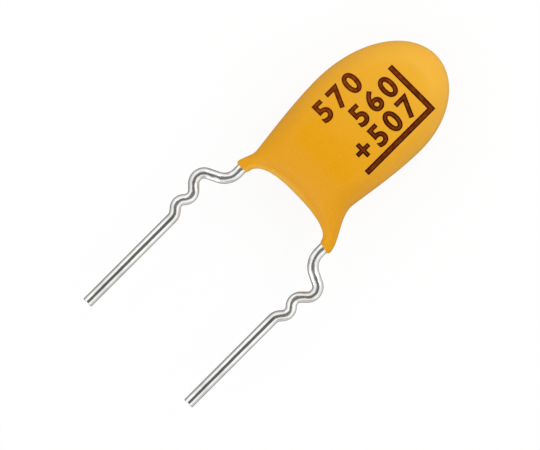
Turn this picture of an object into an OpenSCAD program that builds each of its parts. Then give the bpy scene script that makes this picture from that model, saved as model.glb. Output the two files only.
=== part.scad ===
// Resin-dipped tantalum capacitor with formed radial leads, lying on its back.
// X runs across from the negative to the positive lead, Y from the lead tips to the crown, Z up out of the marked face.

/* [Coat] */
// Height of the coat from the ends of its legs to the crown
coat_h = 9.68; // [8:0.01:12]
// Thickness of the coat between its flat faces
coat_t = 3.5; // [3:0.05:5]
// Reach of the coat from the middle of the leads to its widest point on the positive side
wide_pos = 2.53; // [2.3:0.01:3.2]
// Reach of the coat from the middle of the leads to its widest point on the negative side
wide_neg = 2.99; // [2.8:0.01:3.4]
// Height of the widest point on the positive side above the leg ends
wide_pos_y = 6.25; // [5.5:0.05:7]
// Height of the widest point on the negative side above the leg ends
wide_neg_y = 5.15; // [4.5:0.05:6.5]
// Reach of the neck above the positive leg
neck_pos = 2.12; // [2:0.01:2.5]
// Reach of the neck above the negative leg
neck_neg = 2.64; // [2.6:0.01:2.8]
// Height of the neck above the end of the positive leg
neck_pos_y = 2.35; // [1.9:0.05:2.6]
// Height of the neck above the end of the negative leg
neck_neg_y = 1.05; // [0.9:0.05:1.6]
// Height of the arch between the legs
arch_h = 0.88; // [0.5:0.01:1.1]
// Height above the leg ends at which the coat reaches its full thickness
full_y = 3; // [2.2:0.05:3.3]
// Width of the rounding from the outline to a flat face
edge_round = 1.2; // [1:0.05:1.7]
// Width of the rounding from the arch to a flat face
arch_round = 0.7; // [0.5:0.05:1.2]
// Thickness of the resin round the wire at the end of a leg
leg_skin = 0.09; // [0.06:0.01:0.15]
// Shift of a leg's resin to the outside of its wire
leg_hang = 0.03; // [0:0.01:0.04]
// Rise of the positive leg's end from its outer to its inner side
leg_slant = 0.12; // [0:0.01:0.2]

/* [Leads] */
// Diameter of the lead wire
wire_d = 0.5; // [0.4:0.01:0.6]
// Distance between the leads where they leave the coat
exit_pitch = 5.08; // [4.8:0.01:5.3]
// Distance between the straight pins of the leads
lead_pitch = 6.35; // [6:0.01:7]
// Radius of the bends inside the coat, on the wire's centre line
bend_r = 0.35; // [0.32:0.01:0.4]
// Share of the shorter neighbouring run that a kink's bend takes up
kink_soft = 0.49; // [0.44:0.01:0.5]
// Share of the shorter neighbouring run that the bend into the pin takes up
pin_soft = 0.27; // [0.24:0.01:0.5]
// Thinning of the wire round a bend, on its radius
bend_thin = 0.005; // [0.003:0.001:0.02]
// Length of lead from the leg end to the shoulder bend
shoulder_drop = 0.8; // [0.5:0.01:1.1]
// Drop from the shoulder bend to the stop kink
stop_drop = 0.73; // [0.6:0.01:1.1]
// Reach of the stop kink outside the line of the pin
stop_reach = 0.875; // [0.7:0.005:1.1]
// Drop from the stop kink to the waist between the kinks
waist_drop = 0.95; // [0.8:0.01:1.2]
// Inset of the waist inside the line of the pin
waist_inset = 0.085; // [0:0.005:0.15]
// Drop from the waist to the lock kink
lock_drop = 0.6; // [0.55:0.01:0.8]
// Reach of the lock kink outside the line of the pin
lock_reach = 0.435; // [0.35:0.005:0.6]
// Drop from the lock kink to the line of the pin
pin_drop = 0.52; // [0.45:0.01:0.8]
// Length of the straight pin, measured from its last bend's corner
pin_len = 5.5; // [3:0.01:20]

/* [Inside] */
// Width of the sintered slug
pellet_w = 3.4; // [2.8:0.05:3.5]
// Depth of resin between the crown and the sintered slug
crown_skin = 1.75; // [1.3:0.05:2.5]
// Thickness of the sintered slug
pellet_t = 1.8; // [1.2:0.05:2]
// Radius of the slug's upright edges
pellet_r = 0.3; // [0.1:0.05:0.35]
// Height of the slug's lower face above the leg ends
pellet_y = 3.4; // [3.1:0.05:3.8]
// Diameter of the tantalum riser wire
riser_d = 0.36; // [0.25:0.01:0.45]
// Length of riser sintered into the slug
riser_embed = 1.6; // [0.8:0.05:2.5]
// Outer diameter of the insulating washer on the riser
washer_d = 1.3; // [0.9:0.05:1.7]
// Thickness of the insulating washer
washer_t = 0.25; // [0.1:0.01:0.4]
// Height of the positive lead's cross run, where the riser is welded to it
weld_y = 2.2; // [1.95:0.05:2.4]
// Length of the cross run past the riser
weld_tail = 0.4; // [0.3:0.05:0.8]
// Straight length of the positive lead inside its leg
exit_run_pos = 0.34; // [0.32:0.01:0.36]
// Straight length of the negative lead inside its leg
exit_run_neg = 0.24; // [0.2:0.01:0.28]
// Slant of the positive lead inside its leg
splay_pos = 35; // [30:1:38]
// Slant of the negative lead inside its leg
splay_neg = 25; // [20:1:30]
// Length of slug left bare above the end of the negative lead
lap_short = 1.6; // [1.2:0.05:2]
// Radius of the solder round the negative lead
solder_r = 0.5; // [0.4:0.01:0.55]
// Length of the solder past the end of the negative lead
solder_cap = 0.2; // [0.1:0.05:0.4]

/* [Hidden] */
$fn = 48;

wire_r = wire_d / 2;
leg_r = wire_r + leg_skin;
exit_x = exit_pitch / 2;
leg_x = exit_x + leg_hang;
pin_x = lead_pitch / 2;
lead_drop = shoulder_drop + stop_drop + waist_drop + lock_drop + pin_drop + pin_len;
body_x = (wide_pos - wide_neg) / 2;
pellet_h = coat_h - crown_skin - pellet_y;
lap_len = pellet_h - lap_short;
pellet_left = body_x - pellet_w / 2;
lap_x = pellet_left - wire_r;
frame_y = (coat_h - lead_drop) / 2;

// Outline of the coat: on each side a crown, a flank and a leg, with an arch between the legs.

// Steepness of the flank at the neck, where 1 is the straight line to the widest point
neck_steep = 1.4;
// Exponent of the arch, where 2 is an ellipse
arch_power = 2.5;

function mix(a, b, t) = a + (b - a) * t;
function ease(t) = t * t * (3 - 2 * t);
function hermite(a, b, rise_a, rise_b, t) =
    mix(a, b, ease(t)) + rise_a * t * (1 - t) * (1 - t) - rise_b * t * t * (1 - t);

function wide(side) = side > 0 ? [wide_pos, wide_pos_y] : [wide_neg, wide_neg_y];
function neck(side) = side > 0 ? [neck_pos, neck_pos_y] : [neck_neg, neck_neg_y];
function arch_span(side) = leg_x - leg_r - side * body_x;

// Reach of the outline at height y.
function flank_reach(side, y) =
    let (w = wide(side), n = neck(side), rise = neck_steep * (w.x - n.x), length = w.y - n.y)
    y > n.y ? hermite(n.x, w.x, rise, 0, (y - n.y) / length)
            : hermite(leg_x + leg_r, n.x, 0, rise * n.y / length, y / n.y);

function crown_point(side, t) =
    let (w = wide(side))
    [side * w.x * sin(90 * t), mix(w.y, coat_h, cos(90 * t))];
function flank_point(side, y) = [side * flank_reach(side, y), y];
function arch_point(side, t) =
    [body_x + side * arch_span(side) * pow(sin(90 * t), 2 / arch_power),
     arch_h * pow(cos(90 * t), 2 / arch_power)];

// Height of a face above the middle plane: rounded down to the outline and the arch, and tapered into the legs.

function side_gap(p) =
    let (side = p.x < 0 ? -1 : 1, w = wide(side), up = [p.x, p.y - w.y],
         share = norm([p.x / w.x, up.y / (coat_h - w.y)]))
    p.y < w.y ? flank_reach(side, p.y) - abs(p.x) :
    share < 0.1 ? edge_round : norm(up) * (1 / share - 1);
function arch_gap(p) =
    let (side = p.x < body_x ? -1 : 1, out = [p.x - body_x, p.y],
         share = pow(pow(abs(out.x) / arch_span(side), arch_power) + pow(p.y / arch_h, arch_power), 1 / arch_power))
    norm(out) * (1 - 1 / share);
function round_over(gap, width) = sqrt(1 - pow(1 - min(max(gap / width, 0), 1), 2));
leg_share = leg_r / (coat_t / 2 * round_over(leg_r, edge_round) * round_over(leg_r, arch_round));
function face_height(p) =
    coat_t / 2 * round_over(side_gap(p), edge_round) * round_over(arch_gap(p), arch_round)
    * mix(leg_share, 1, ease(min(p.y / full_y, 1)));

// The spine is the line on which the ribs from both sides meet: down the middle of the body, then along each leg.

// Divisions along the crown, flank and leg, and along a rib
crown_n = 14;
flank_n = 9;
leg_n = 12;
rib_n = 9;
// Height of the spine beside the widest points, and of its upper end on the way to the crown
spine_wide = mix(wide_neg_y, wide_pos_y, 0.23);
spine_top = mix(spine_wide, coat_h, 0.4);
// Height on the outline at which the ribs go over from the body to the legs
split_y = 0.75 * full_y;

function spine_body(i) =
    [body_x, i <= crown_n ? mix(spine_top, spine_wide, i / crown_n)
                          : mix(spine_wide, full_y, (i - crown_n) / flank_n)];
function spine_leg(side, t) =
    pow(1 - t, 3) * [body_x, full_y]
    + 3 * pow(1 - t, 2) * t * [side * leg_x * 0.55, full_y * 0.62]
    + 3 * (1 - t) * t * t * [side * leg_x, full_y * 0.35]
    + pow(t, 3) * [side * leg_x, 0];
function spine_index(side, i) = i == 0 ? body_n : body_n + i + (side > 0 ? 0 : leg_n);
body_n = crown_n + flank_n;

// Stations run clockwise round the outline from the crown: [outline point, spine point, index of the spine point].
function outer_station(side, i) =
    i <= crown_n ? [crown_point(side, i / crown_n), spine_body(i), i] :
    i <= body_n ? [flank_point(side, mix(wide(side).y, split_y, (i - crown_n) / flank_n)), spine_body(i), i] :
    let (t = (i - body_n) / leg_n)
    [flank_point(side, split_y * (1 - t)), spine_leg(side, t), spine_index(side, i - body_n)];
function arch_station(side, i) =
    [arch_point(side, i / leg_n), spine_leg(side, i / leg_n), spine_index(side, i)];

stations = concat(
    [for (i = [0 : body_n + leg_n]) outer_station(1, i)],
    [for (i = [leg_n : -1 : 0]) arch_station(1, i)],
    [for (i = [1 : leg_n]) arch_station(-1, i)],
    [for (i = [body_n + leg_n : -1 : 1]) outer_station(-1, i)]);
station_n = len(stations);
spine = concat(
    [for (i = [0 : body_n]) spine_body(i)],
    [for (i = [1 : leg_n]) spine_leg(1, i / leg_n)],
    [for (i = [1 : leg_n]) spine_leg(-1, i / leg_n)]);
spine_n = len(spine);

// The skin's points: the outline, the ribs of the front and of the back, and the two spines.
function rib_point(station, level) = mix(station[0], station[1], 1 - cos(90 * level / rib_n));
// The positive leg's end is slanted, which fades out at the height of the arch.
function lift(p) =
    p.x < 0 || p.y > arch_h ? 0 :
    leg_slant * (1 - p.y / arch_h) * min(max((leg_x + leg_r - p.x) / (2 * leg_r), 0), 1);
function skin_point(p, face) = [p.x, p.y + lift(p), face * face_height(p)];
skin_points = concat(
    [for (s = stations) skin_point(s[0], 0)],
    [for (face = [1, -1]) for (s = stations) for (j = [1 : rib_n - 1]) skin_point(rib_point(s, j), face)],
    [for (face = [1, -1]) for (p = spine) skin_point(p, face)]);
function skin_index(s, level, face) =
    let (back = face > 0 ? 0 : 1)
    level == 0 ? s :
    level < rib_n ? station_n + (back * station_n + s) * (rib_n - 1) + level - 1 :
    station_n + 2 * station_n * (rib_n - 1) + back * spine_n + stations[s][2];
// A patch of the skin is split along its shorter diagonal; at a leg's flat end it is one triangle.
function span(a, b) = norm(skin_points[a] - skin_points[b]);
function split(a, b, c, d) =
    c == d ? [[a, b, c]] :
    span(a, c) < span(b, d) ? [[a, b, c], [a, c, d]] : [[a, b, d], [b, c, d]];
function facing(face, triangle) = face > 0 ? triangle : [triangle[2], triangle[1], triangle[0]];
skin_faces = [
    for (face = [1, -1]) for (s = [0 : station_n - 1]) for (level = [0 : rib_n - 1])
        let (next = (s + 1) % station_n,
             a = skin_index(s, level, face), b = skin_index(next, level, face),
             c = skin_index(next, level + 1, face), d = skin_index(s, level + 1, face))
        for (triangle = split(a, b, c, d)) facing(face, triangle)];

// A wire along a path of corners [x, y, radius of its bend].

// Length by which a straight run reaches over each of its bends
bend_lap = 0.02;
function direction(path, i) = atan2(path[i + 1].y - path[i].y, path[i + 1].x - path[i].x);
function turn(path, i) =
    i <= 0 || i >= len(path) - 1 ? 0 :
    let (a = direction(path, i) - direction(path, i - 1))
    a > 180 ? a - 360 : a < -180 ? a + 360 : a;
function run_length(path, i) = norm([path[i + 1].x - path[i].x, path[i + 1].y - path[i].y]);
function setback(path, i) = turn(path, i) == 0 ? 0 : path[i].z * tan(abs(turn(path, i)) / 2);
function soft_bend(path, i, soft) =
    turn(path, i) == 0 ? 0 :
    soft * min(run_length(path, i - 1), run_length(path, i)) / tan(abs(turn(path, i)) / 2);

module wire(path) {
    translate([path[0].x, path[0].y, 0])
        rotate(direction(path, 0))
            wire_run(path, 0);
}

module wire_run(path, i) {
    run = run_length(path, i) - setback(path, i) - setback(path, i + 1);
    last = i + 2 == len(path);
    before = i == 0 ? 0 : bend_lap;
    after = last ? 0 : bend_lap;
    translate([-before, 0, 0])
        rotate([0, 90, 0])
            cylinder(d = wire_d, h = before + run + after);
    if (!last)
        translate([run, 0, 0])
            wire_bend(turn(path, i + 1), path[i + 1].z)
                wire_run(path, i + 1);
}

module wire_bend(angle, radius) {
    side = sign(angle);
    translate([0, side * radius, 0]) {
        rotate(side > 0 ? -90 : 90 + angle)
            rotate_extrude(angle = abs(angle))
                translate([radius, 0])
                    circle(wire_r - bend_thin);
        rotate(angle)
            translate([0, -side * radius, 0])
                children();
    }
}

// The formed part of a lead, from its tip up to the straight run inside the leg.
function formed_corners(side) =
    let (lock_y = pin_len + pin_drop - lead_drop,
         waist_y = lock_y + lock_drop,
         stop_y = waist_y + waist_drop)
    [[side * pin_x, -lead_drop],
     [side * pin_x, pin_len - lead_drop],
     [side * (pin_x + lock_reach), lock_y],
     [side * (pin_x - waist_inset), waist_y],
     [side * (pin_x + stop_reach), stop_y],
     [side * exit_x, stop_y + stop_drop],
     [side * exit_x, side > 0 ? exit_run_pos : exit_run_neg]];
function formed_path(side) =
    let (corners = formed_corners(side), last = len(corners) - 1)
    [for (i = [0 : last])
        [corners[i].x, corners[i].y,
         i == last ? bend_r : soft_bend(corners, i, i == 1 ? pin_soft : kink_soft)]];

positive_path = concat(formed_path(1),
    [[exit_x - (weld_y - exit_run_pos) * tan(splay_pos), weld_y, bend_r],
     [body_x - weld_tail, weld_y, 0]]);
negative_path = concat(formed_path(-1),
    [[lap_x, exit_run_neg + (lap_x + exit_x) / tan(splay_neg), bend_r],
     [lap_x, pellet_y + lap_len, 0]]);

// Turns an upright feature, drawn along Z, to run along the body.
module along_body(x, y) {
    translate([x, y, 0])
        rotate([-90, 0, 0])
            children();
}

module placed() {
    translate([0, -frame_y, coat_t / 2])
        children();
}

module lead_shape(path) {
    wire(path);
}

module slug_block() {
    inner = [pellet_w - 2 * pellet_r, pellet_t - 2 * pellet_r];
    along_body(body_x, pellet_y)
        linear_extrude(pellet_h)
            union() {
                square([pellet_w, inner.y], center = true);
                square([inner.x, pellet_t], center = true);
                for (x = [-1, 1], z = [-1, 1])
                    translate([x * inner.x / 2, z * inner.y / 2])
                        circle(pellet_r);
            }
}

module riser_rod() {
    along_body(body_x, weld_y)
        cylinder(d = riser_d, h = pellet_y + riser_embed - weld_y);
}

module solder_bead(lap = 0) {
    intersection() {
        along_body(lap_x, pellet_y)
            cylinder(r = solder_r, h = lap_len + solder_cap);
        translate([pellet_left - 2 * solder_r, pellet_y, -solder_r])
            cube([2 * solder_r + lap, lap_len + solder_cap, 2 * solder_r]);
    }
}

module washer_disc(lap = 0) {
    along_body(body_x, pellet_y - washer_t)
        cylinder(d = washer_d, h = washer_t + lap);
}

// Length by which the hollows for the washer and the solder run on into the one for the slug
hollow_lap = 0.05;

module resin_coat() {
    color("goldenrod")
        placed()
            difference() {
                polyhedron(points = skin_points, faces = skin_faces, convexity = 6);
                slug_block();
                riser_rod();
                washer_disc(hollow_lap);
                solder_bead(hollow_lap);
                lead_shape(positive_path);
                lead_shape(negative_path);
            }
}

module anode_pellet() {
    color("dimgray")
        placed()
            difference() {
                slug_block();
                riser_rod();
            }
}

module riser_wire() {
    color("slategray")
        placed()
            difference() {
                riser_rod();
                lead_shape(positive_path);
            }
}

module riser_washer() {
    color("white")
        placed()
            difference() {
                washer_disc();
                riser_rod();
            }
}

module cathode_solder() {
    color("gainsboro")
        placed()
            difference() {
                solder_bead();
                lead_shape(negative_path);
            }
}

module positive_lead() {
    color("silver")
        placed()
            lead_shape(positive_path);
}

module negative_lead() {
    color("silver")
        placed()
            lead_shape(negative_path);
}

resin_coat();
anode_pellet();
riser_wire();
riser_washer();
cathode_solder();
positive_lead();
negative_lead();
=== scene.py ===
"""Looks of a resin-dipped tantalum capacitor: coat, leads, marking, inner parts and studio."""

import logging
import math
from collections.abc import Mapping
from dataclasses import dataclass, field
from enum import Enum

import bpy
import numpy as np
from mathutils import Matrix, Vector


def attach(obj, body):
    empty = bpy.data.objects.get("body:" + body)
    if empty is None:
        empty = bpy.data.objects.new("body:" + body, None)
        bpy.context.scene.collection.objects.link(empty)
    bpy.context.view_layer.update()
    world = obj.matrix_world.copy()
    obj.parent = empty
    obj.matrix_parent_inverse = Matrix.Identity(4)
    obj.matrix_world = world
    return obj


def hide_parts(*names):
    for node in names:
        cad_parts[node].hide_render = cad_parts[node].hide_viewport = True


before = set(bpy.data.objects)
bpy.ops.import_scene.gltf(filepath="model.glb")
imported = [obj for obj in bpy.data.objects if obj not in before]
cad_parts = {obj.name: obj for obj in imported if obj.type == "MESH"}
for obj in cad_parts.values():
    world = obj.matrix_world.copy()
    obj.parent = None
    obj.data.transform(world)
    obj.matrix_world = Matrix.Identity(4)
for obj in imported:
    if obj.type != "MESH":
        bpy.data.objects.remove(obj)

LOG = logging.getLogger("capacitor")
MM = 0.001

# Sizes that the pieces share, in mm: heights count from the ends of the coat's legs
COAT_H = 9.68
COAT_T = 3.5
WIRE_R = 0.25
LEG_SKIN = 0.09
LEG_R = WIRE_R + LEG_SKIN
EXIT_X = 2.54
LEG_HANG = 0.03
LEG_X = EXIT_X + LEG_HANG
LEAD_DROP = 9.10
FRAME_Y = (COAT_H - LEAD_DROP) / 2

# Inner runs of the leads, in mm: one crosses under the riser, the other laps the side of the slug
RISER_Y = 2.2
RISER_RUN = ((1.238, RISER_Y), (-0.63, RISER_Y))
LAP_X = -2.18
LAP_DROP = 3.35
LAP_RUN = ((LAP_X, 1.012), (LAP_X, COAT_H - LAP_DROP))

# Distance in metres within which two points count as one
SAME_SPOT = 1e-7

WHITE = (1.0, 1.0, 1.0, 1.0)

Point = tuple[float, float]
Span = tuple[float, float]


class Side(Enum):
    """The two sides of the part, each with its own lead."""

    POSITIVE = 1
    NEGATIVE = -1


def place(x: float, y: float, z: float = 0.0) -> Vector:
    """Turn mm from the leg ends and the middle plane into metres of the frame."""
    return Vector((x, y - FRAME_Y, z + COAT_T / 2)) * MM


def linear(code: str) -> tuple[float, float, float, float]:
    """Convert an sRGB hex code to the linear colour that shaders take.

    Args:
        code: a hash and six hex digits.

    Returns:
        Linear red, green and blue, and an alpha of 1.
    """
    shares = [int(code[i:i + 2], 16) / 255 for i in (1, 3, 5)]
    red, green, blue = (s / 12.92 if s <= 0.04045 else ((s + 0.055) / 1.055) ** 2.4 for s in shares)
    return red, green, blue, 1.0


def per_mm(size: float) -> float:
    """Scale of a texture with features `size` mm across, on coordinates in metres."""
    return 1 / (size * MM)


def add_node(
    tree: bpy.types.NodeTree, kind: str, inputs: Mapping[str | int, object] | None = None, **settings: object
) -> bpy.types.Node:
    """Add a shader node with its settings, values and links.

    Args:
        tree: the node tree that takes the node.
        kind: the node's type name.
        inputs: a value, or a socket to link, for each input by name or number.
        settings: properties of the node itself.

    Returns:
        The new node.
    """
    made = tree.nodes.new(kind)
    for name, value in settings.items():
        setattr(made, name, value)
    for name, value in (inputs or {}).items():
        if isinstance(value, bpy.types.NodeSocket):
            tree.links.new(value, made.inputs[name])
        else:
            made.inputs[name].default_value = value
    return made


# Finishes: sizes and places in mm, and a pair is a span from its first value to its second


@dataclass(frozen=True)
class Finish:
    """A surface finish, made once as a procedural material."""

    name: str

    def material(self) -> bpy.types.Material:
        """Give the finish's material.

        Returns:
            The material, built on first use.
        """
        made = bpy.data.materials.get(self.name)
        if made is None:
            made = bpy.data.materials.new(self.name)
            made.use_nodes = True
            self.shade(made.node_tree, made.node_tree.nodes["Principled BSDF"])
        return made

    def shade(self, tree: bpy.types.NodeTree, surface: bpy.types.Node) -> None:
        """Fill the material's tree; each finish has its own way."""
        raise NotImplementedError


@dataclass(frozen=True)
class EpoxyResin(Finish):
    """Filled epoxy, dipped and cured: golden, with a painted highlight towards the crown, a soft sheen and
    orange-peel.
    """

    name: str = "Dipped_epoxy_resin"
    leg_tone: str = "#E7A006"
    crown_highlight_tone: str = "#EFB132"
    grain: str = "#F1B224"
    rim_highlight_tone: str = "#F5C554"
    sheen: float = 0.45
    sheen_spread: float = 0.05
    ior: float = 1.53
    specular: float = 0.18
    cloud_mm: float = 2.8
    cloud_drift: float = 3.0
    crown_light_y: Span = (4.5, 10.5)
    fleck_mm: float = 0.11
    fleck_level: Span = (0.56, 0.74)
    fleck_share: float = 0.45
    rim_highlight_gap: Span = (0.1, 0.3)
    rim_highlight_x: Span = (-1.0, 2.2)
    rim_highlight_share: Span = (0.5, 0.05)
    swell_mm: float = 1.3
    swell_deep: float = 0.03
    peel_mm: float = 0.22
    peel_deep: float = 0.004

    def shade(self, tree: bpy.types.NodeTree, surface: bpy.types.Node) -> None:
        """Mix slow clouds, a painted highlight towards the crown and along the arch's rim, and fine grains
        of filler into the colour, and ripple the skin.

        Args:
            tree: the material's node tree.
            surface: its Principled node.
        """
        spot = add_node(tree, "ShaderNodeTexCoord").outputs["Object"]
        # Painted highlight: the colour turns paler and yellower towards the crown, where the crown's lamp
        # lights it, broken by clouds a few mm across
        cloud = add_node(
            tree, "ShaderNodeTexNoise", {"Vector": spot, "Scale": per_mm(self.cloud_mm), "Detail": 3.0}
        )
        axes = add_node(tree, "ShaderNodeSeparateXYZ", {0: spot}).outputs
        drift = add_node(
            tree, "ShaderNodeMath", {0: cloud.outputs["Fac"], 1: self.cloud_drift * MM, 2: axes["Y"]},
            operation="MULTIPLY_ADD",
        )
        low, high = (place(0, y).y for y in self.crown_light_y)
        crown_light = add_node(
            tree, "ShaderNodeMapRange", {"Value": drift.outputs[0], "From Min": low, "From Max": high}
        )
        colour = add_node(
            tree, "ShaderNodeMix",
            {0: crown_light.outputs["Result"], 6: linear(self.leg_tone), 7: linear(self.crown_highlight_tone)},
            data_type="RGBA",
        )
        # Grains of filler that show as pale points, drawn coarser than they are
        fleck = add_node(
            tree, "ShaderNodeTexNoise", {"Vector": spot, "Scale": per_mm(self.fleck_mm), "Detail": 2.0}
        )
        low, high = self.fleck_level
        pale = add_node(
            tree, "ShaderNodeMapRange",
            {"Value": fleck.outputs["Fac"], "From Min": low, "From Max": high, "To Max": self.fleck_share},
        )
        grained = add_node(
            tree, "ShaderNodeMix",
            {0: pale.outputs["Result"], 6: colour.outputs[2], 7: linear(self.grain)}, data_type="RGBA",
        )
        # Painted highlight: a pale band along the rim of the arch, where the rounded edge catches the lead
        # softbox, most on the negative side
        gap = add_node(tree, "ShaderNodeAttribute", attribute_name=Coat.ARCH_GAP).outputs["Fac"]
        low, high = self.rim_highlight_gap
        rim_highlight_band = add_node(
            tree, "ShaderNodeMapRange",
            {"Value": gap, "From Min": low, "From Max": high, "To Min": 1.0, "To Max": 0.0},
            interpolation_type="SMOOTHSTEP",
        )
        low, high = (x * MM for x in self.rim_highlight_x)
        most, least = self.rim_highlight_share
        rim_highlight_fade = add_node(
            tree, "ShaderNodeMapRange",
            {"Value": axes["X"], "From Min": low, "From Max": high, "To Min": most, "To Max": least},
        )
        painted_rim_highlight = add_node(
            tree, "ShaderNodeMath", {0: rim_highlight_band.outputs["Result"], 1: rim_highlight_fade.outputs["Result"]},
            operation="MULTIPLY",
        )
        rim_highlighted = add_node(
            tree, "ShaderNodeMix",
            {0: painted_rim_highlight.outputs[0], 6: grained.outputs[2], 7: linear(self.rim_highlight_tone)}, data_type="RGBA",
        )
        # Orange-peel of a dipped skin over a longer swell
        swell = add_node(
            tree, "ShaderNodeTexNoise", {"Vector": spot, "Scale": per_mm(self.swell_mm), "Detail": 1.0}
        )
        peel = add_node(
            tree, "ShaderNodeTexNoise", {"Vector": spot, "Scale": per_mm(self.peel_mm), "Detail": 2.0}
        )
        rolled = add_node(
            tree, "ShaderNodeBump",
            {"Height": swell.outputs["Fac"], "Strength": 1.0, "Distance": self.swell_deep * MM},
        )
        rippled = add_node(
            tree, "ShaderNodeBump",
            {
                "Height": peel.outputs["Fac"], "Strength": 1.0, "Distance": self.peel_deep * MM,
                "Normal": rolled.outputs["Normal"],
            },
        )
        smooth, dull = self.sheen - self.sheen_spread, self.sheen + self.sheen_spread
        gloss = add_node(
            tree, "ShaderNodeMapRange", {"Value": peel.outputs["Fac"], "To Min": smooth, "To Max": dull}
        )
        tree.links.new(rim_highlighted.outputs[2], surface.inputs["Base Color"])
        tree.links.new(gloss.outputs["Result"], surface.inputs["Roughness"])
        tree.links.new(rippled.outputs["Normal"], surface.inputs["Normal"])
        surface.inputs["IOR"].default_value = self.ior
        surface.inputs["Specular IOR Level"].default_value = self.specular


@dataclass(frozen=True)
class TinnedWire(Finish):
    """Bright tin on drawn wire: a mirror along the wire, broken by faint lines and duller patches."""

    name: str = "Tinned_copper_wire"
    tin: str = "#F1F0ED"
    dull_tin: str = "#DAD9D6"
    gloss: Span = (0.08, 0.26)
    line_long: float = 4.0
    lines_per_mm: float = 22.0
    line_deep: float = 0.002
    line_strength: float = 0.6
    patch_mm: float = 0.625
    patch_level: Span = (0.4, 0.7)
    patch_deep: float = 0.012
    formed_from: Span = (5.2, 5.8)
    formed_dull: float = 0.1
    dents_per_mm: float = 2.6
    dent_deep: float = 0.045

    def shade(self, tree: bpy.types.NodeTree, surface: bpy.types.Node) -> None:
        """Draw lines along the wire from its own run coordinates, which are in mm, and vary the gloss.

        Args:
            tree: the material's node tree.
            surface: its Principled node.
        """
        run = add_node(tree, "ShaderNodeAttribute", attribute_name=Lead.RUN).outputs["Vector"]
        # Lines of the drawing die, long along the wire and fine round it
        fine = (1 / self.line_long, self.lines_per_mm, self.lines_per_mm)
        stretched = add_node(tree, "ShaderNodeMapping", {"Vector": run, "Scale": fine}).outputs["Vector"]
        lines = add_node(tree, "ShaderNodeTexNoise", {"Vector": stretched, "Scale": 1.0, "Detail": 3.0})
        # Patches of thicker tin, about as long as the wire is thick
        patch = add_node(
            tree, "ShaderNodeTexNoise", {"Vector": run, "Scale": 1 / self.patch_mm, "Detail": 2.0}
        )
        low, high = self.patch_level
        worn = add_node(
            tree, "ShaderNodeMapRange", {"Value": patch.outputs["Fac"], "From Min": low, "From Max": high}
        )
        colour = add_node(
            tree, "ShaderNodeMix",
            {0: worn.outputs["Result"], 6: linear(self.tin), 7: linear(self.dull_tin)}, data_type="RGBA",
        )
        smooth, dull = self.gloss
        rough = add_node(
            tree, "ShaderNodeMapRange", {"Value": lines.outputs["Fac"], "To Min": smooth, "To Max": dull}
        )
        # The forming tool left the kinks less even than the straight pin
        along = add_node(tree, "ShaderNodeSeparateXYZ", {0: run}).outputs["X"]
        low, high = self.formed_from
        formed = add_node(
            tree, "ShaderNodeMapRange", {"Value": along, "From Min": low, "From Max": high}
        ).outputs["Result"]
        dulled = add_node(
            tree, "ShaderNodeMath", {0: formed, 1: self.formed_dull, 2: rough.outputs["Result"]},
            operation="MULTIPLY_ADD",
        )
        dents = add_node(
            tree, "ShaderNodeTexNoise", {"Vector": run, "Scale": self.dents_per_mm, "Detail": 1.0}
        )
        swell = add_node(
            tree, "ShaderNodeBump",
            {"Height": patch.outputs["Fac"], "Strength": 1.0, "Distance": self.patch_deep * MM},
        )
        dented = add_node(
            tree, "ShaderNodeBump",
            {
                "Height": dents.outputs["Fac"], "Strength": formed, "Distance": self.dent_deep * MM,
                "Normal": swell.outputs["Normal"],
            },
        )
        scored = add_node(
            tree, "ShaderNodeBump",
            {
                "Height": lines.outputs["Fac"], "Strength": self.line_strength,
                "Distance": self.line_deep * MM, "Normal": dented.outputs["Normal"],
            },
        )
        tree.links.new(colour.outputs[2], surface.inputs["Base Color"])
        tree.links.new(dulled.outputs[0], surface.inputs["Roughness"])
        tree.links.new(scored.outputs["Normal"], surface.inputs["Normal"])
        surface.inputs["Metallic"].default_value = 1.0


@dataclass(frozen=True)
class BurntMark(Finish):
    """Marking burnt into the resin: brown and matt, mottled between char and a redder scorch."""

    name: str
    char: str
    scorch: str
    weak_gain: float
    full_gain: float
    gain_x: Span = (-2.0, 0.6)
    mottle_mm: float = 0.25
    mottle_level: Span = (0.4, 0.7)
    pit_deep: float = 0.006
    roughness: float = 0.6
    specular: float = 0.03

    def shade(self, tree: bpy.types.NodeTree, surface: bpy.types.Node) -> None:
        """Mottle the burn between char and scorch, paler to the negative side where the beam was weaker.

        Args:
            tree: the material's node tree.
            surface: its Principled node.
        """
        spot = add_node(tree, "ShaderNodeTexCoord").outputs["Object"]
        mottle = add_node(
            tree, "ShaderNodeTexNoise", {"Vector": spot, "Scale": per_mm(self.mottle_mm), "Detail": 4.0}
        ).outputs["Fac"]
        low, high = self.mottle_level
        share = add_node(tree, "ShaderNodeMapRange", {"Value": mottle, "From Min": low, "From Max": high})
        colour = add_node(
            tree, "ShaderNodeMix",
            {0: share.outputs["Result"], 6: linear(self.char), 7: linear(self.scorch)}, data_type="RGBA",
        )
        across = add_node(tree, "ShaderNodeSeparateXYZ", {0: spot}).outputs["X"]
        low, high = (x * MM for x in self.gain_x)
        gain = add_node(
            tree, "ShaderNodeMapRange",
            {
                "Value": across, "From Min": low, "From Max": high,
                "To Min": self.weak_gain, "To Max": self.full_gain,
            },
        )
        weaker = add_node(
            tree, "ShaderNodeVectorMath", {0: colour.outputs[2], "Scale": gain.outputs["Result"]},
            operation="SCALE",
        )
        pitted = add_node(
            tree, "ShaderNodeBump", {"Height": mottle, "Strength": 1.0, "Distance": self.pit_deep * MM}
        )
        tree.links.new(weaker.outputs["Vector"], surface.inputs["Base Color"])
        tree.links.new(pitted.outputs["Normal"], surface.inputs["Normal"])
        surface.inputs["Roughness"].default_value = self.roughness
        surface.inputs["Specular IOR Level"].default_value = self.specular


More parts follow.
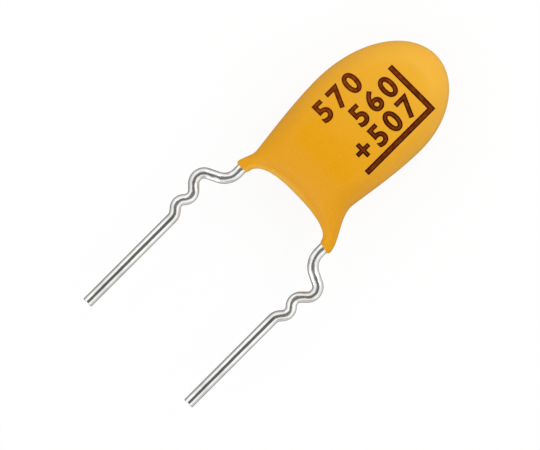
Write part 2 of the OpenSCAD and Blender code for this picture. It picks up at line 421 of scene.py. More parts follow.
@dataclass(frozen=True)
class GrainedSolid(Finish):
    """A plain solid with a grain: two colours mottled together and a bump of the same grain."""

    name: str
    base: str
    fleck: str
    grain_mm: float
    roughness: float
    metallic: float = 0.0
    grain_level: Span = (0.35, 0.65)
    grain_deep: float = 0.1

    def shade(self, tree: bpy.types.NodeTree, surface: bpy.types.Node) -> None:
        """Mottle the two colours and lift the grain by a share of its size.

        Args:
            tree: the material's node tree.
            surface: its Principled node.
        """
        spot = add_node(tree, "ShaderNodeTexCoord").outputs["Object"]
        grain = add_node(
            tree, "ShaderNodeTexNoise", {"Vector": spot, "Scale": per_mm(self.grain_mm), "Detail": 4.0}
        ).outputs["Fac"]
        low, high = self.grain_level
        share = add_node(tree, "ShaderNodeMapRange", {"Value": grain, "From Min": low, "From Max": high})
        colour = add_node(
            tree, "ShaderNodeMix",
            {0: share.outputs["Result"], 6: linear(self.base), 7: linear(self.fleck)}, data_type="RGBA",
        )
        deep = self.grain_deep * self.grain_mm * MM
        raised = add_node(tree, "ShaderNodeBump", {"Height": grain, "Strength": 1.0, "Distance": deep})
        tree.links.new(colour.outputs[2], surface.inputs["Base Color"])
        tree.links.new(raised.outputs["Normal"], surface.inputs["Normal"])
        surface.inputs["Roughness"].default_value = self.roughness
        surface.inputs["Metallic"].default_value = self.metallic


@dataclass(frozen=True)
class StudioFloor(Finish):
    """White paper: near white to the eye, and dim enough to keep a faint shadow."""

    name: str = "White_paper_floor"
    paper: str = "#C8C8C8"
    roughness: float = 0.9
    own_light: float = 0.84
    to_eye: float = 1.08
    in_mirrors: float = 0.8
    in_shade: float = 0.12
    shade_mm: Span = (1.9, 4.5)
    far_side_shade: float = 0.6
    far_lean: Span = (-0.2, 0.2)

    def shade(self, tree: bpy.types.NodeTree, surface: bpy.types.Node) -> None:
        """Let the eye and mirrors see the paper mostly as its own white, with a shadow painted into what
        mirrors see.

        Args:
            tree: the material's node tree.
            surface: its Principled node.
        """
        surface.inputs["Base Color"].default_value = linear(self.paper)
        surface.inputs["Roughness"].default_value = self.roughness
        surface.inputs["Specular IOR Level"].default_value = 0.0
        ray = add_node(tree, "ShaderNodeLightPath").outputs
        seen = add_node(
            tree, "ShaderNodeMath", {0: ray["Is Camera Ray"], 1: ray["Is Glossy Ray"]}, operation="MAXIMUM"
        ).outputs[0]
        share = add_node(tree, "ShaderNodeMath", {0: seen, 1: self.own_light}, operation="MULTIPLY")
        # Painted shadow: mirrors see the paper dark close under a piece, where its shade falls, and dimmer
        # on the piece's negative side
        near, clear = (length * MM for length in self.shade_mm)
        painted_shadow_level = add_node(
            tree, "ShaderNodeMapRange",
            {
                "Value": ray["Ray Length"], "From Min": near, "From Max": clear,
                "To Min": self.in_shade, "To Max": self.in_mirrors,
            },
            interpolation_type="SMOOTHSTEP",
        )
        back = add_node(tree, "ShaderNodeNewGeometry").outputs["Incoming"]
        sideways = add_node(tree, "ShaderNodeSeparateXYZ", {0: back}).outputs["X"]
        low, high = self.far_lean
        painted_side_shade = add_node(
            tree, "ShaderNodeMapRange",
            {"Value": sideways, "From Min": low, "From Max": high, "To Min": 1.0, "To Max": self.far_side_shade},
        )
        mirror = add_node(
            tree, "ShaderNodeMath", {0: painted_shadow_level.outputs["Result"], 1: painted_side_shade.outputs["Result"]},
            operation="MULTIPLY",
        )
        level = add_node(
            tree, "ShaderNodeMapRange",
            {"Value": ray["Is Glossy Ray"], "To Min": self.to_eye, "To Max": mirror.outputs[0]},
        ).outputs["Result"]
        white = add_node(tree, "ShaderNodeEmission", {"Color": WHITE, "Strength": level})
        mixed = add_node(
            tree, "ShaderNodeMixShader", {0: share.outputs[0], 1: surface.outputs[0], 2: white.outputs[0]}
        )
        tree.links.new(mixed.outputs[0], tree.nodes["Material Output"].inputs["Surface"])


# Pieces


def start_mesh() -> None:
    """Leave edit mode and drop the selection, so that the next operator meets only its own piece."""
    if bpy.context.object and bpy.context.object.mode != "OBJECT":
        bpy.ops.object.mode_set(mode="OBJECT")
    bpy.ops.object.select_all(action="DESELECT")


def finish_piece(piece: bpy.types.Object, name: str, finish: Finish | None) -> None:
    """Name a piece, dress it and let it ride on the part.

    Args:
        piece: the finished mesh object.
        name: its name.
        finish: its surface, or None if it has its materials already.
    """
    start_mesh()
    piece.name = name
    piece.data.name = name
    if finish:
        piece.data.materials.clear()
        piece.data.materials.append(finish.material())
    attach(piece, "root")
    LOG.info("%s: %d faces, %s", name, len(piece.data.polygons), [m.name for m in piece.data.materials])


@dataclass
class Coat:
    """The dipped coat: an egg-shaped bead with flat faces that runs down two legs onto the leads."""

    ARCH_GAP = "arch_gap"

    widest: Mapping[Side, Point] = field(
        default_factory=lambda: {Side.POSITIVE: (2.53, 6.25), Side.NEGATIVE: (2.99, 5.15)}
    )
    neck: Mapping[Side, Point] = field(
        default_factory=lambda: {Side.POSITIVE: (2.12, 2.35), Side.NEGATIVE: (2.64, 1.05)}
    )
    body_x: float = -0.23
    arch_h: float = 0.88
    arch_power: float = 2.5
    neck_steep: float = 1.4
    full_y: float = 3.0
    edge_round: float = 1.2
    arch_round: float = 0.7
    crown_n: int = 56
    flank_n: int = 36
    leg_n: int = 44
    rib_n: int = 22
    lip_h: float = 0.2
    leg_slant: float = 0.12
    core_share: float = 0.1
    wide_share: float = 0.23
    top_share: float = 0.4
    split_share: float = 0.75
    leg_guides: tuple[Point, Point] = ((0.55, 0.62), (1.0, 0.35))
    finish: Finish = EpoxyResin()

    @staticmethod
    def hermite(a: float, b: float, rise_a: float, rise_b: float, t: float) -> float:
        """Ease from a to b with the given rises at both ends.

        Args:
            a: value at the start.
            b: value at the end.
            rise_a: rise over the whole length at the start.
            rise_b: rise over the whole length at the end.
            t: share of the way.

        Returns:
            The value at t.
        """
        eased = a + (b - a) * t * t * (3 - 2 * t)
        return eased + rise_a * t * (1 - t) ** 2 - rise_b * t * t * (1 - t)

    def arch_span(self, side: Side) -> float:
        """Half width of the arch on one side."""
        return LEG_X - LEG_R - side.value * self.body_x

    def flank_reach(self, side: Side, y: float) -> float:
        """Reach of the outline below its widest point.

        Args:
            side: the side of the part.
            y: height above the leg ends.

        Returns:
            The distance from the middle of the leads.
        """
        wide_x, wide_y = self.widest[side]
        neck_x, neck_y = self.neck[side]
        rise = self.neck_steep * (wide_x - neck_x)
        length = wide_y - neck_y
        if y > neck_y:
            return self.hermite(neck_x, wide_x, rise, 0, (y - neck_y) / length)
        return self.hermite(LEG_X + LEG_R, neck_x, 0, rise * neck_y / length, y / neck_y)

    def crown_point(self, side: Side, t: float) -> Point:
        """Point of the outline between the crown, t 0, and the widest point, t 1."""
        wide_x, wide_y = self.widest[side]
        angle = math.radians(90 * t)
        return side.value * wide_x * math.sin(angle), wide_y + (COAT_H - wide_y) * math.cos(angle)

    def arch_point(self, side: Side, t: float) -> Point:
        """Point of the arch between its top, t 0, and the end of a leg, t 1."""
        angle = math.radians(90 * t)
        power = 2 / self.arch_power
        out = self.arch_span(side) * math.sin(angle) ** power
        return self.body_x + side.value * out, self.arch_h * max(math.cos(angle), 0.0) ** power

    def side_gap(self, x: float, y: float) -> float:
        """Distance of a point inside the outline from the crown or flank.

        Args:
            x: across the part.
            y: height above the leg ends.

        Returns:
            The distance in mm.
        """
        side = Side.NEGATIVE if x < 0 else Side.POSITIVE
        wide_x, wide_y = self.widest[side]
        if y < wide_y:
            return self.flank_reach(side, y) - abs(x)
        share = math.hypot(x / wide_x, (y - wide_y) / (COAT_H - wide_y))
        if share < self.core_share:
            return self.edge_round
        return math.hypot(x, y - wide_y) * (1 / share - 1)

    def arch_gap(self, x: float, y: float) -> float:
        """Distance of a point inside the outline from the arch.

        Args:
            x: across the part.
            y: height above the leg ends.

        Returns:
            The distance in mm.
        """
        side = Side.NEGATIVE if x < self.body_x else Side.POSITIVE
        across = abs(x - self.body_x) / self.arch_span(side)
        share = (across ** self.arch_power + (y / self.arch_h) ** self.arch_power) ** (1 / self.arch_power)
        return math.hypot(x - self.body_x, y) * (1 - 1 / share)

    @staticmethod
    def round_over(gap: float, width: float) -> float:
        """Share of the full height at a distance from the outline."""
        return math.sqrt(1 - (1 - min(max(gap / width, 0), 1)) ** 2)

    def face_height(self, x: float, y: float) -> float:
        """Height of a face above the middle plane.

        Args:
            x: across the part.
            y: height above the leg ends.

        Returns:
            The height in mm.
        """
        full = COAT_T / 2
        at_leg = self.round_over(LEG_R, self.edge_round) * self.round_over(LEG_R, self.arch_round)
        leg_share = LEG_R / (full * at_leg)
        t = min(y / self.full_y, 1)
        taper = leg_share + (1 - leg_share) * t * t * (3 - 2 * t)
        rounded = self.round_over(self.side_gap(x, y), self.edge_round)
        return full * taper * rounded * self.round_over(self.arch_gap(x, y), self.arch_round)

    def spine_leg(self, side: Side, t: float) -> Point:
        """Point of the line down the middle of a leg, from the body, t 0, to the leg's end, t 1."""
        out = side.value * LEG_X
        (near_x, near_y), (far_x, far_y) = self.leg_guides
        corners = ((self.body_x, 1.0), (out * near_x, near_y), (out * far_x, far_y), (out, 0.0))
        weights = ((1 - t) ** 3, 3 * (1 - t) ** 2 * t, 3 * (1 - t) * t * t, t ** 3)
        x = sum(w * c[0] for w, c in zip(weights, corners))
        return x, sum(w * c[1] * self.full_y for w, c in zip(weights, corners))

    def stations(self) -> list[tuple[Point, Point]]:
        """List the ribs clockwise round the outline from the crown.

        Returns:
            For each rib its point on the outline and its point on the spine.
        """
        low_y, high_y = self.widest[Side.NEGATIVE][1], self.widest[Side.POSITIVE][1]
        wide_spine = low_y + self.wide_share * (high_y - low_y)
        top_spine = wide_spine + self.top_share * (COAT_H - wide_spine)
        split_y = self.split_share * self.full_y
        sides: dict[Side, list[tuple[Point, Point]]] = {}
        for side in Side:
            ribs = []
            for i in range(self.crown_n + 1):
                t = i / self.crown_n
                spine = (self.body_x, top_spine + (wide_spine - top_spine) * t)
                ribs.append((self.crown_point(side, t), spine))
            wide_y = self.widest[side][1]
            for i in range(1, self.flank_n + 1):
                t = i / self.flank_n
                y = wide_y + (split_y - wide_y) * t
                spine = (self.body_x, wide_spine + (self.full_y - wide_spine) * t)
                ribs.append(((side.value * self.flank_reach(side, y), y), spine))
            # Ribs crowd towards the end of the leg, where its lip is rounded
            steps = [1 - (1 - i / self.leg_n) ** 2 for i in range(self.leg_n + 1)]
            for t in steps[1:]:
                y = split_y * (1 - t)
                ribs.append(((side.value * self.flank_reach(side, y), y), self.spine_leg(side, t)))
            for t in reversed(steps):
                ribs.append((self.arch_point(side, t), self.spine_leg(side, t)))
            sides[side] = ribs
        return sides[Side.POSITIVE] + sides[Side.NEGATIVE][-2::-1]

    def skin(self) -> tuple[np.ndarray, np.ndarray]:
        """Work out the points of the skin.

        Returns:
            Points in metres by level, from the front spine over the outline to the back spine, and by rib,
            and the distance of each point from the arch in mm.
        """
        ribs = self.stations()
        rows = np.empty((2 * self.rib_n + 1, len(ribs), 3))
        gaps = np.empty(rows.shape[:2])
        for level in range(-self.rib_n, self.rib_n + 1):
            inward = 1 - math.cos(math.radians(90 * abs(level) / self.rib_n))
            face = -1 if level > 0 else 1
            for i, (edge, spine) in enumerate(ribs):
                x = edge[0] + (spine[0] - edge[0]) * inward
                y = edge[1] + (spine[1] - edge[1]) * inward
                z = face * self.face_height(x, y) if level else 0.0
                rows[level + self.rib_n, i] = place(*self.lip(x, y, z))
                gaps[level + self.rib_n, i] = self.arch_gap(x, y)
        return rows, gaps

    def lip(self, x: float, y: float, z: float) -> tuple[float, float, float]:
        """Round the end of a leg down to the wire, and slant the end of the positive one.

        Args:
            x: across the part.
            y: height above the leg ends.
            z: height above the middle plane.

        Returns:
            The point, drawn in to the wire where it is near the end of a leg.
        """
        lift = 0.0
        if x > 0 and y < self.arch_h:
            inner = min(max((LEG_X + LEG_R - x) / (2 * LEG_R), 0), 1)
            lift = self.leg_slant * (1 - y / self.arch_h) * inner
        if y < self.lip_h:
            share = math.sqrt(1 - (1 - max(y, 0.0) / self.lip_h) ** 2)
            on_wire = math.copysign(EXIT_X, x) + (x - math.copysign(LEG_X, x)) * WIRE_R / LEG_R
            x = on_wire + (x - on_wire) * share
            z *= (WIRE_R + LEG_SKIN * share) / LEG_R
        return x, y + lift, z

    def build(self) -> bpy.types.Object:
        """Shape a grid into the skin and close it.

        Returns:
            The coat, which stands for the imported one.
        """
        rows, gaps = self.skin()
        levels, ribs = rows.shape[0] - 1, rows.shape[1] - 1
        start_mesh()
        bpy.ops.mesh.primitive_grid_add(x_subdivisions=ribs, y_subdivisions=levels, size=1)
        coat = bpy.context.object
        flat = np.empty(3 * len(coat.data.vertices))
        coat.data.vertices.foreach_get("co", flat)
        flat = flat.reshape(-1, 3)
        column = np.rint((flat[:, 0] + 0.5) * ribs).astype(int)
        row = np.rint((flat[:, 1] + 0.5) * levels).astype(int)
        coat.data.vertices.foreach_set("co", rows[row, column].ravel())
        near_arch = coat.data.attributes.new(self.ARCH_GAP, "FLOAT", "POINT")
        near_arch.data.foreach_set("value", gaps[row, column])
        coat.data.update()
        bpy.ops.object.mode_set(mode="EDIT")
        bpy.ops.mesh.select_all(action="SELECT")
        bpy.ops.mesh.remove_doubles(threshold=SAME_SPOT)
        bpy.ops.mesh.normals_make_consistent(inside=False)
        bpy.ops.mesh.select_mode(type="VERT")
        bpy.ops.mesh.select_all(action="DESELECT")
        bpy.ops.object.mode_set(mode="OBJECT")
        # At the upper ends of the spine two faces share both sides of a corner, and become one
        links = np.bincount(np.array([edge.vertices[:] for edge in coat.data.edges]).ravel())
        coat.data.vertices.foreach_set("select", links == 2)
        bpy.ops.object.mode_set(mode="EDIT")
        bpy.ops.mesh.dissolve_verts()
        bpy.ops.object.mode_set(mode="OBJECT")
        bpy.ops.object.shade_smooth()
        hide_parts("resin_coat")
        finish_piece(coat, "coat_skin", self.finish)
        return coat


@dataclass
class Lead:
    """A tinned lead: a straight pin, a lock kink, a stop kink, a shoulder and a run inside the coat."""

    RUN = "wire_run"

    side: Side
    node: str
    exit_run: float
    inner: tuple[Point, ...]
    pin_x: float = 3.175
    kinks: tuple[Point, ...] = ((0.0, -3.60), (0.435, -3.08), (-0.085, -2.48), (0.875, -1.53))
    shoulder_y: float = -0.80
    inner_r: float = 0.35
    kink_soft: float = 0.49
    pin_soft: float = 0.27
    sides_n: int = 40
    tip_bevel: float = 0.03
    tip_steps: int = 3
    bend_step: float = 6.0
    bend_least: int = 6
    run_step: float = 0.05
    smooth_angle: float = 40.0
    finish: Finish = TinnedWire()

    def corners(self) -> list[Vector]:
        """List the corners of the wire's path.

        Returns:
            Points in metres from the tip to the inner end.
        """
        kinks = [(self.pin_x + out, y) for out, y in self.kinks]
        formed = [(self.pin_x, -LEAD_DROP), *kinks, (EXIT_X, self.shoulder_y), (EXIT_X, self.exit_run)]
        return [place(self.side.value * x, y) for x, y in formed] + [place(x, y) for x, y in self.inner]

    def setback(self, path: list[Vector], i: int) -> float:
        """Length that the bend at one corner takes from each of its two runs.

        Args:
            path: the corners of the wire.
            i: number of the corner.

        Returns:
            The length in metres, 0 at both ends.
        """
        if i in (0, len(path) - 1):
            return 0.0
        # Past the shoulder the bends lie inside the coat
        if i > len(self.kinks) + 1:
            return self.inner_r * MM * math.tan(abs(self.turn(path, i)) / 2)
        soft = self.pin_soft if i == 1 else self.kink_soft
        return soft * min((path[i] - path[i - 1]).length, (path[i + 1] - path[i]).length)

    @staticmethod
    def turn(path: list[Vector], i: int) -> float:
        """Angle of the bend at one corner.

        Args:
            path: the corners of the wire.
            i: number of the corner.

        Returns:
            The angle in radians, positive to the left.
        """
        before, after = path[i] - path[i - 1], path[i + 1] - path[i]
        return math.atan2(before.cross(after).z, before.dot(after))

    def build(self) -> bpy.types.Object:
        """Draw the wire out of a disc, straight by straight and bend by bend.

        Returns:
            The lead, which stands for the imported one.
        """
        path = self.corners()
        start_mesh()
        bpy.ops.mesh.primitive_circle_add(
            vertices=self.sides_n, radius=WIRE_R * MM, fill_type="NGON",
            location=path[0], rotation=(math.radians(90), 0, 0),
        )
        lead = bpy.context.object
        bpy.ops.object.transform_apply(location=True, rotation=True, scale=True)
        bpy.ops.object.mode_set(mode="EDIT")
        bpy.ops.mesh.select_mode(type="FACE")
        bpy.ops.mesh.select_all(action="SELECT")
        line = [path[0]]
        for i in range(len(path) - 1):
            along = path[i + 1] - path[i]
            back = self.setback(path, i + 1)
            run = along.length - self.setback(path, i) - back
            along.normalize()
            bpy.ops.mesh.extrude_region_move(TRANSFORM_OT_translate={"value": along * run})
            line.append(line[-1] + along * run)
            if back:
                self.bend(line, along, self.turn(path, i + 1), back)
        bpy.ops.mesh.select_all(action="SELECT")
        bpy.ops.mesh.remove_doubles(threshold=SAME_SPOT)
        bpy.ops.mesh.normals_make_consistent(inside=False)
        self.break_tip(lead, path[0].y)
        bpy.ops.object.shade_smooth_by_angle(angle=math.radians(self.smooth_angle))
        self.mark_run(lead, line)
        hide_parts(self.node)
        finish_piece(lead, f"{self.node}_wire", self.finish)
        return lead

    def bend(self, line: list[Vector], along: Vector, turn: float, back: float) -> None:
        """Spin the wire's end round one bend and add the bend to the middle line.

        Args:
            line: points of the middle line so far.
            along: direction of the wire before the bend.
            turn: angle of the bend in radians, positive to the left.
            back: distance from the start of the bend to its corner.
        """
        radius = back / math.tan(abs(turn) / 2)
        across = Vector((-along.y, along.x, 0)) * math.copysign(radius, turn)
        centre = line[-1] + across
        steps = max(self.bend_least, round(abs(turn) / math.radians(self.bend_step)))
        bpy.ops.mesh.spin(steps=steps, angle=abs(turn), center=centre, axis=(0, 0, -math.copysign(1, turn)))
        arm = -across
        for i in range(1, steps + 1):
            part = turn * i / steps
            x = arm.x * math.cos(part) - arm.y * math.sin(part)
            y = arm.x * math.sin(part) + arm.y * math.cos(part)
            line.append(centre + Vector((x, y, 0)))

    def break_tip(self, lead: bpy.types.Object, tip_y: float) -> None:
        """Break the edge of the cut tip with a fine bevel.

        Args:
            lead: the wire, in edit mode.
            tip_y: where the tip lies.
        """
        bpy.ops.mesh.select_all(action="DESELECT")
        bpy.ops.object.mode_set(mode="OBJECT")
        for face in lead.data.polygons:
            face.select = abs(face.center.y - tip_y) < SAME_SPOT
        bpy.ops.object.mode_set(mode="EDIT")
        bpy.ops.mesh.region_to_loop()
        bpy.ops.mesh.bevel(offset=self.tip_bevel * MM, segments=self.tip_steps, affect="EDGES")
        bpy.ops.object.mode_set(mode="OBJECT")

    def mark_run(self, lead: bpy.types.Object, line: list[Vector]) -> None:
        """Store for each vertex how far along the wire and where round it the vertex lies, in mm.

        Args:
            lead: the wire.
            line: points of its middle line.
        """
        points = np.array([v[:] for v in line])
        fine = [points[:1]]
        for a, b in zip(points[:-1], points[1:]):
            count = max(1, int(np.linalg.norm(b - a) / (self.run_step * MM)))
            fine.append(a + (b - a) * np.linspace(0, 1, count + 1)[1:, None])
        fine = np.concatenate(fine)
        length = np.concatenate([[0], np.cumsum(np.linalg.norm(np.diff(fine, axis=0), axis=1))])
        heading = np.gradient(fine, axis=0)
        heading /= np.linalg.norm(heading, axis=1)[:, None]
        spots = np.empty(3 * len(lead.data.vertices))
        lead.data.vertices.foreach_get("co", spots)
        spots = spots.reshape(-1, 3)
        near = np.array([np.argmin(((fine - spot) ** 2).sum(axis=1)) for spot in spots])
        off = spots - fine[near]
        beside = off[:, 1] * heading[near, 0] - off[:, 0] * heading[near, 1]
        run = np.stack([length[near], beside, off[:, 2]], axis=1) / MM
        stored = lead.data.attributes.new(self.RUN, "FLOAT_VECTOR", "POINT")
        stored.data.foreach_set("vector", run.ravel())


@dataclass(frozen=True)
class MarkRow:
    """One row of plain characters, which reads from the leads to the crown."""

    text: str
    base_x: float
    start_y: float


@dataclass
class Marking:
    """Generic marking: three rows of plain numbers beside an angled polarity bar, laid onto the coat.

    The dark rim of the strokes is one layer, and the paler groove in their middle is another on top of it.
    """

    rows: tuple[MarkRow, ...] = (
        MarkRow("570", -1.30, 3.98), MarkRow("560", -0.04, 4.98), MarkRow("+507", 1.17, 3.95),
    )
    letter_size: float = 1.34
    spacing: float = 1.32
    bar_corner: Point = (1.66, 7.91)
    bar_width: float = 0.26
    bar_across: float = 2.73
    bar_down: float = 4.17
    bold: float = 0.034
    rim: float = 0.055
    cut_mm: float = 0.1
    cut_x: Point = (-2.437, 1.8)
    cut_y: Point = (3.637, 8.0)
    lift_z: float = 3.0
    rim_top: float = 0.01
    rim_deep: float = 0.02
    groove_top: float = 0.014
    groove_deep: float = 0.0035
    curve_steps: int = 6
    flat_angle: float = 0.5
    smooth_angle: float = 30.0
    merge_m: float = 1e-6
    cut_near_m: float = 1e-9
    rim_finish: Finish = BurntMark("Burnt_rim", "#2C0C00", "#3E1502", 2.5, 0.75)
    groove_finish: Finish = BurntMark("Burnt_groove", "#602405", "#7F3A0C", 1.4, 1.0)

    def row(self, line: MarkRow, grow: float) -> bpy.types.Object:
        """Set one row of characters and turn it to mesh.

        Args:
            line: what it says and where it goes.
            grow: reach of the strokes past their usual edge, in mm.

        Returns:
            The flat mesh, in place above the coat.
        """
        start_mesh()
        # A quarter turn, so that the characters' tops face the negative side
        start = place(line.base_x, line.start_y, self.lift_z)
        bpy.ops.object.text_add(location=start, rotation=(0, 0, math.radians(90)))
        piece = bpy.context.object
        piece.data.body = line.text
        piece.data.size = self.letter_size * MM
        piece.data.space_character = self.spacing
        piece.data.offset = (self.bold * self.letter_size + grow) * MM
        piece.data.resolution_u = self.curve_steps
        bpy.ops.object.convert(target="MESH")
        bpy.ops.object.transform_apply(location=True, rotation=True, scale=True)
        return piece

    def bar(self, grow: float) -> bpy.types.Object:
        """Draw the polarity bar out of its corner square.

        Args:
            grow: reach of the bar past its usual edge, in mm.

        Returns:
            The flat mesh, in place above the coat.
        """
        start_mesh()
        x, y = (at + grow for at in self.bar_corner)
        width = self.bar_width + 2 * grow
        corner = place(x - width / 2, y - width / 2, self.lift_z)
        bpy.ops.mesh.primitive_plane_add(size=width * MM, location=corner)
        piece = bpy.context.object
        bpy.ops.object.transform_apply(location=True, rotation=True, scale=True)
        low = place(x - width, y - width, self.lift_z)
        for axis, reach in ((0, self.bar_across), (1, self.bar_down)):
            bpy.ops.object.mode_set(mode="EDIT")
            bpy.ops.mesh.select_mode(type="EDGE")
            bpy.ops.mesh.select_all(action="DESELECT")
            bpy.ops.object.mode_set(mode="OBJECT")
            for edge in piece.data.edges:
                ends = [piece.data.vertices[v].co for v in edge.vertices]
                on_line = all(abs(end[axis] - low[axis]) < SAME_SPOT for end in ends)
                edge.select = on_line and all(end.x > low.x - SAME_SPOT for end in ends)
            bpy.ops.object.mode_set(mode="EDIT")
            move = Vector((0, 0, 0))
            move[axis] = (self.bar_width - reach) * MM
            bpy.ops.mesh.extrude_region_move(TRANSFORM_OT_translate={"value": move})
            bpy.ops.object.mode_set(mode="OBJECT")
        return piece

    def layer(self, grow: float, finish: Finish) -> bpy.types.Object:
        """Join the rows and the bar into one flat mesh and cut it fine enough to follow the coat.

        Args:
            grow: reach of the strokes past their usual edge, in mm.
            finish: the surface of the layer.

        Returns:
            The flat mesh, in place above the coat.
        """
        parts = [self.row(line, grow) for line in self.rows]
        flat = self.bar(grow)
        start_mesh()
        for part in [*parts, flat]:
            part.select_set(True)
        bpy.context.view_layer.objects.active = flat
        bpy.ops.object.join()
        flat.data.materials.append(finish.material())
        bpy.ops.object.mode_set(mode="EDIT")
        bpy.ops.mesh.select_mode(type="FACE")
        bpy.ops.mesh.select_all(action="SELECT")
        bpy.ops.mesh.dissolve_limited(angle_limit=math.radians(self.flat_angle))
        for axis, (first, last) in (((1, 0, 0), self.cut_x), ((0, 1, 0), self.cut_y)):
            for i in range(int((last - first) / self.cut_mm)):
                at = first + i * self.cut_mm
                bpy.ops.mesh.select_all(action="SELECT")
                bpy.ops.mesh.bisect(plane_co=place(at, at), plane_no=axis, threshold=self.cut_near_m)
        bpy.ops.mesh.select_all(action="SELECT")
        bpy.ops.mesh.remove_doubles(threshold=self.merge_m)
        bpy.ops.mesh.quads_convert_to_tris()
        bpy.ops.mesh.dissolve_degenerate(threshold=self.merge_m)
        bpy.ops.object.mode_set(mode="OBJECT")
        return flat

    @staticmethod
    def lay(flat: bpy.types.Object, coat: bpy.types.Object, top: float, deep: float) -> None:
        """Lay a flat mesh onto the coat and give it a body.

        Args:
            flat: the mesh above the coat.
            coat: the skin that takes it.
            top: height of its upper side above the skin, in mm.
            deep: its thickness, in mm.
        """
        start_mesh()
        flat.select_set(True)
        bpy.context.view_layer.objects.active = flat
        wrap = flat.modifiers.new("lay_on_coat", "SHRINKWRAP")
        wrap.target = coat
        wrap.wrap_method = "PROJECT"
        wrap.use_project_z = True
        wrap.use_negative_direction = True
        wrap.use_positive_direction = False
        wrap.offset = top * MM
        bpy.ops.object.modifier_apply(modifier=wrap.name)
        thick = flat.modifiers.new("burn", "SOLIDIFY")
        thick.thickness = deep * MM
        thick.offset = -1
        bpy.ops.object.modifier_apply(modifier=thick.name)

    def build(self, coat: bpy.types.Object) -> bpy.types.Object:
        """Lay the charred strokes onto the coat, and a paler groove along the middle of each.

        Args:
            coat: the skin that takes the marking.

        Returns:
            The marking.
        """
        mark = self.layer(0.0, self.rim_finish)
        groove = self.layer(-self.rim, self.groove_finish)
        self.lay(groove, coat, self.groove_top, self.groove_deep)
        self.lay(mark, coat, self.rim_top, self.rim_deep)
        groove.select_set(True)
        bpy.ops.object.join()
        bpy.ops.object.shade_smooth_by_angle(angle=math.radians(self.smooth_angle))
        finish_piece(mark, "polarity_marking", None)
        return mark


@dataclass
class InnerParts:
    """The sealed pieces inside the coat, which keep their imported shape."""

    finishes: Mapping[str, Finish] = field(
        default_factory=lambda: {
            # Dark, matt block of sintered powder
            "anode_pellet": GrainedSolid("Sintered_tantalum", "#3E3E40", "#58585A", 0.12, 0.85, 0.4),
            # Grey bare wire
            "riser_wire": GrainedSolid("Bare_tantalum_wire", "#6F7076", "#84858B", 0.2, 0.42, 1.0),
            # White, waxy ring
            "riser_washer": GrainedSolid("White_fluoropolymer", "#F2F2EF", "#E6E6E2", 0.3, 0.5),
            # Dull silver casting
            "cathode_solder": GrainedSolid("Cast_solder", "#B9BABB", "#9FA0A2", 0.25, 0.45, 1.0),
        }
    )

    def dress(self) -> None:
        """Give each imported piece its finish."""
        for node, finish in self.finishes.items():
            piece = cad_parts[node]
            if not piece.material_slots:
                piece.data.materials.append(None)
            for slot in piece.material_slots:
                slot.material = finish.material()
            LOG.info("%s: %s", node, finish.name)


@dataclass(frozen=True)
class Softbox:
    """A soft lamp that faces the part, with its place and size in metres."""

    name: str
    watts: float
    at: tuple[float, float, float]
    size: tuple[float, float] = (0.06, 0.035)

    def build(self) -> None:
        """Hang the lamp in its place."""
        lamp = bpy.data.lights.new(self.name, "AREA")
        lamp.shape = "RECTANGLE"
        lamp.size, lamp.size_y = self.size
        lamp.energy = self.watts
        item = bpy.data.objects.new(self.name, lamp)
        bpy.context.scene.collection.objects.link(item)
        item.location = self.at
        item.rotation_euler = (-Vector(self.at)).to_track_quat("-Z", "Y").to_euler()


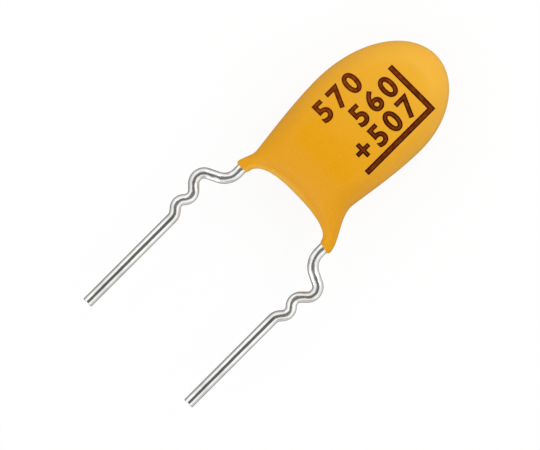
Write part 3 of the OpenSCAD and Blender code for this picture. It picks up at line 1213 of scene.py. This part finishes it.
@dataclass
class Studio:
    """White paper, a soft ring of light with a dark hood above, softboxes at both ends, and the camera."""

    middle: Point = (0.13, -0.90)
    width_mm: float = 24.04
    height: float = 0.2
    turn: float = 45.0
    ring: float = 1.2
    hood: float = 0.12
    hood_edge: float = 33.0
    hood_soft: float = 5.0
    horizon: float = 0.7
    fade_top: float = 0.5
    near_side: float = 0.6
    near_span: Span = (0.74, 0.92)
    floor_size: float = 2.4
    sensor: float = 36.0
    softboxes: tuple[Softbox, ...] = (
        Softbox("crown_softbox", 0.0135, (0.005, 0.055, 0.055)),
        Softbox("lead_softbox", 0.01, (0.0, -0.065, 0.014), (0.06, 0.02)),
    )

    def floor(self) -> None:
        """Lay the paper flat under the part."""
        start_mesh()
        bpy.ops.mesh.primitive_plane_add(size=self.floor_size)
        floor = bpy.context.object
        floor.name = "paper_floor"
        floor.data.materials.append(StudioFloor().material())

    def world(self) -> None:
        """Light from all round, white to the eye, with a dark hood straight above."""
        scene = bpy.context.scene
        scene.world = bpy.data.worlds.new("Studio_tent")
        scene.world.use_nodes = True
        tree = scene.world.node_tree
        out = tree.nodes["World Output"]
        where = add_node(tree, "ShaderNodeTexCoord").outputs["Generated"]
        up = add_node(tree, "ShaderNodeSeparateXYZ", {0: where})
        outer = math.cos(math.radians(self.hood_edge + self.hood_soft))
        inner = math.cos(math.radians(self.hood_edge - self.hood_soft))
        level = add_node(
            tree, "ShaderNodeMapRange",
            {
                "Value": up.outputs["Z"], "From Min": outer, "From Max": inner,
                "To Min": self.ring, "To Max": self.hood,
            },
            interpolation_type="SMOOTHSTEP",
        )
        fade = add_node(
            tree, "ShaderNodeMapRange",
            {"Value": up.outputs["Z"], "From Max": self.fade_top, "To Min": self.horizon, "To Max": 1.0},
            interpolation_type="SMOOTHSTEP",
        )
        ring = add_node(
            tree, "ShaderNodeMath", {0: level.outputs["Result"], 1: fade.outputs["Result"]},
            operation="MULTIPLY",
        )
        # The side below the picture, where the photographer stands, is dimmer
        angle = math.radians(self.turn - 90)
        below = add_node(
            tree, "ShaderNodeVectorMath", {0: where, 1: (math.cos(angle), math.sin(angle), 0.0)},
            operation="DOT_PRODUCT",
        )
        low, high = self.near_span
        stood = add_node(
            tree, "ShaderNodeMapRange",
            {
                "Value": below.outputs["Value"], "From Min": low, "From Max": high,
                "To Min": 1.0, "To Max": self.near_side,
            },
            interpolation_type="SMOOTHSTEP",
        )
        glow = add_node(
            tree, "ShaderNodeMath", {0: ring.outputs[0], 1: stood.outputs["Result"]}, operation="MULTIPLY"
        )
        tent = add_node(tree, "ShaderNodeBackground", {"Color": WHITE, "Strength": glow.outputs[0]})
        white = add_node(tree, "ShaderNodeBackground", {"Color": WHITE, "Strength": 1.0})
        eye = add_node(tree, "ShaderNodeLightPath").outputs["Is Camera Ray"]
        seen = add_node(tree, "ShaderNodeMixShader", {0: eye, 1: tent.outputs[0], 2: white.outputs[0]})
        tree.links.new(seen.outputs[0], out.inputs["Surface"])

    def camera(self) -> None:
        """Look straight down, turned so that the crown points up to the right."""
        view = bpy.data.cameras.new("camera")
        view.sensor_width = self.sensor
        view.lens = self.sensor * self.height / (self.width_mm * MM)
        view.clip_start = MM
        item = bpy.data.objects.new("camera", view)
        bpy.context.scene.collection.objects.link(item)
        item.location = place(*self.middle) + Vector((0, 0, self.height))
        item.rotation_euler = (0, 0, math.radians(self.turn))
        bpy.context.scene.camera = item

    def build(self) -> None:
        """Set up the whole studio."""
        self.floor()
        self.world()
        for softbox in self.softboxes:
            softbox.build()
        self.camera()
        bpy.context.scene.view_settings.view_transform = "Standard"


def main() -> None:
    """Build the pieces in order, then the studio."""
    logging.basicConfig(level=logging.INFO, format="%(name)s: %(message)s")
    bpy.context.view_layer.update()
    coat = Coat().build()
    Lead(Side.POSITIVE, "positive_lead", exit_run=0.34, inner=RISER_RUN).build()
    Lead(Side.NEGATIVE, "negative_lead", exit_run=0.24, inner=LAP_RUN).build()
    Marking().build(coat)
    InnerParts().dress()
    Studio().build()


if __name__ == "__main__":
    main()
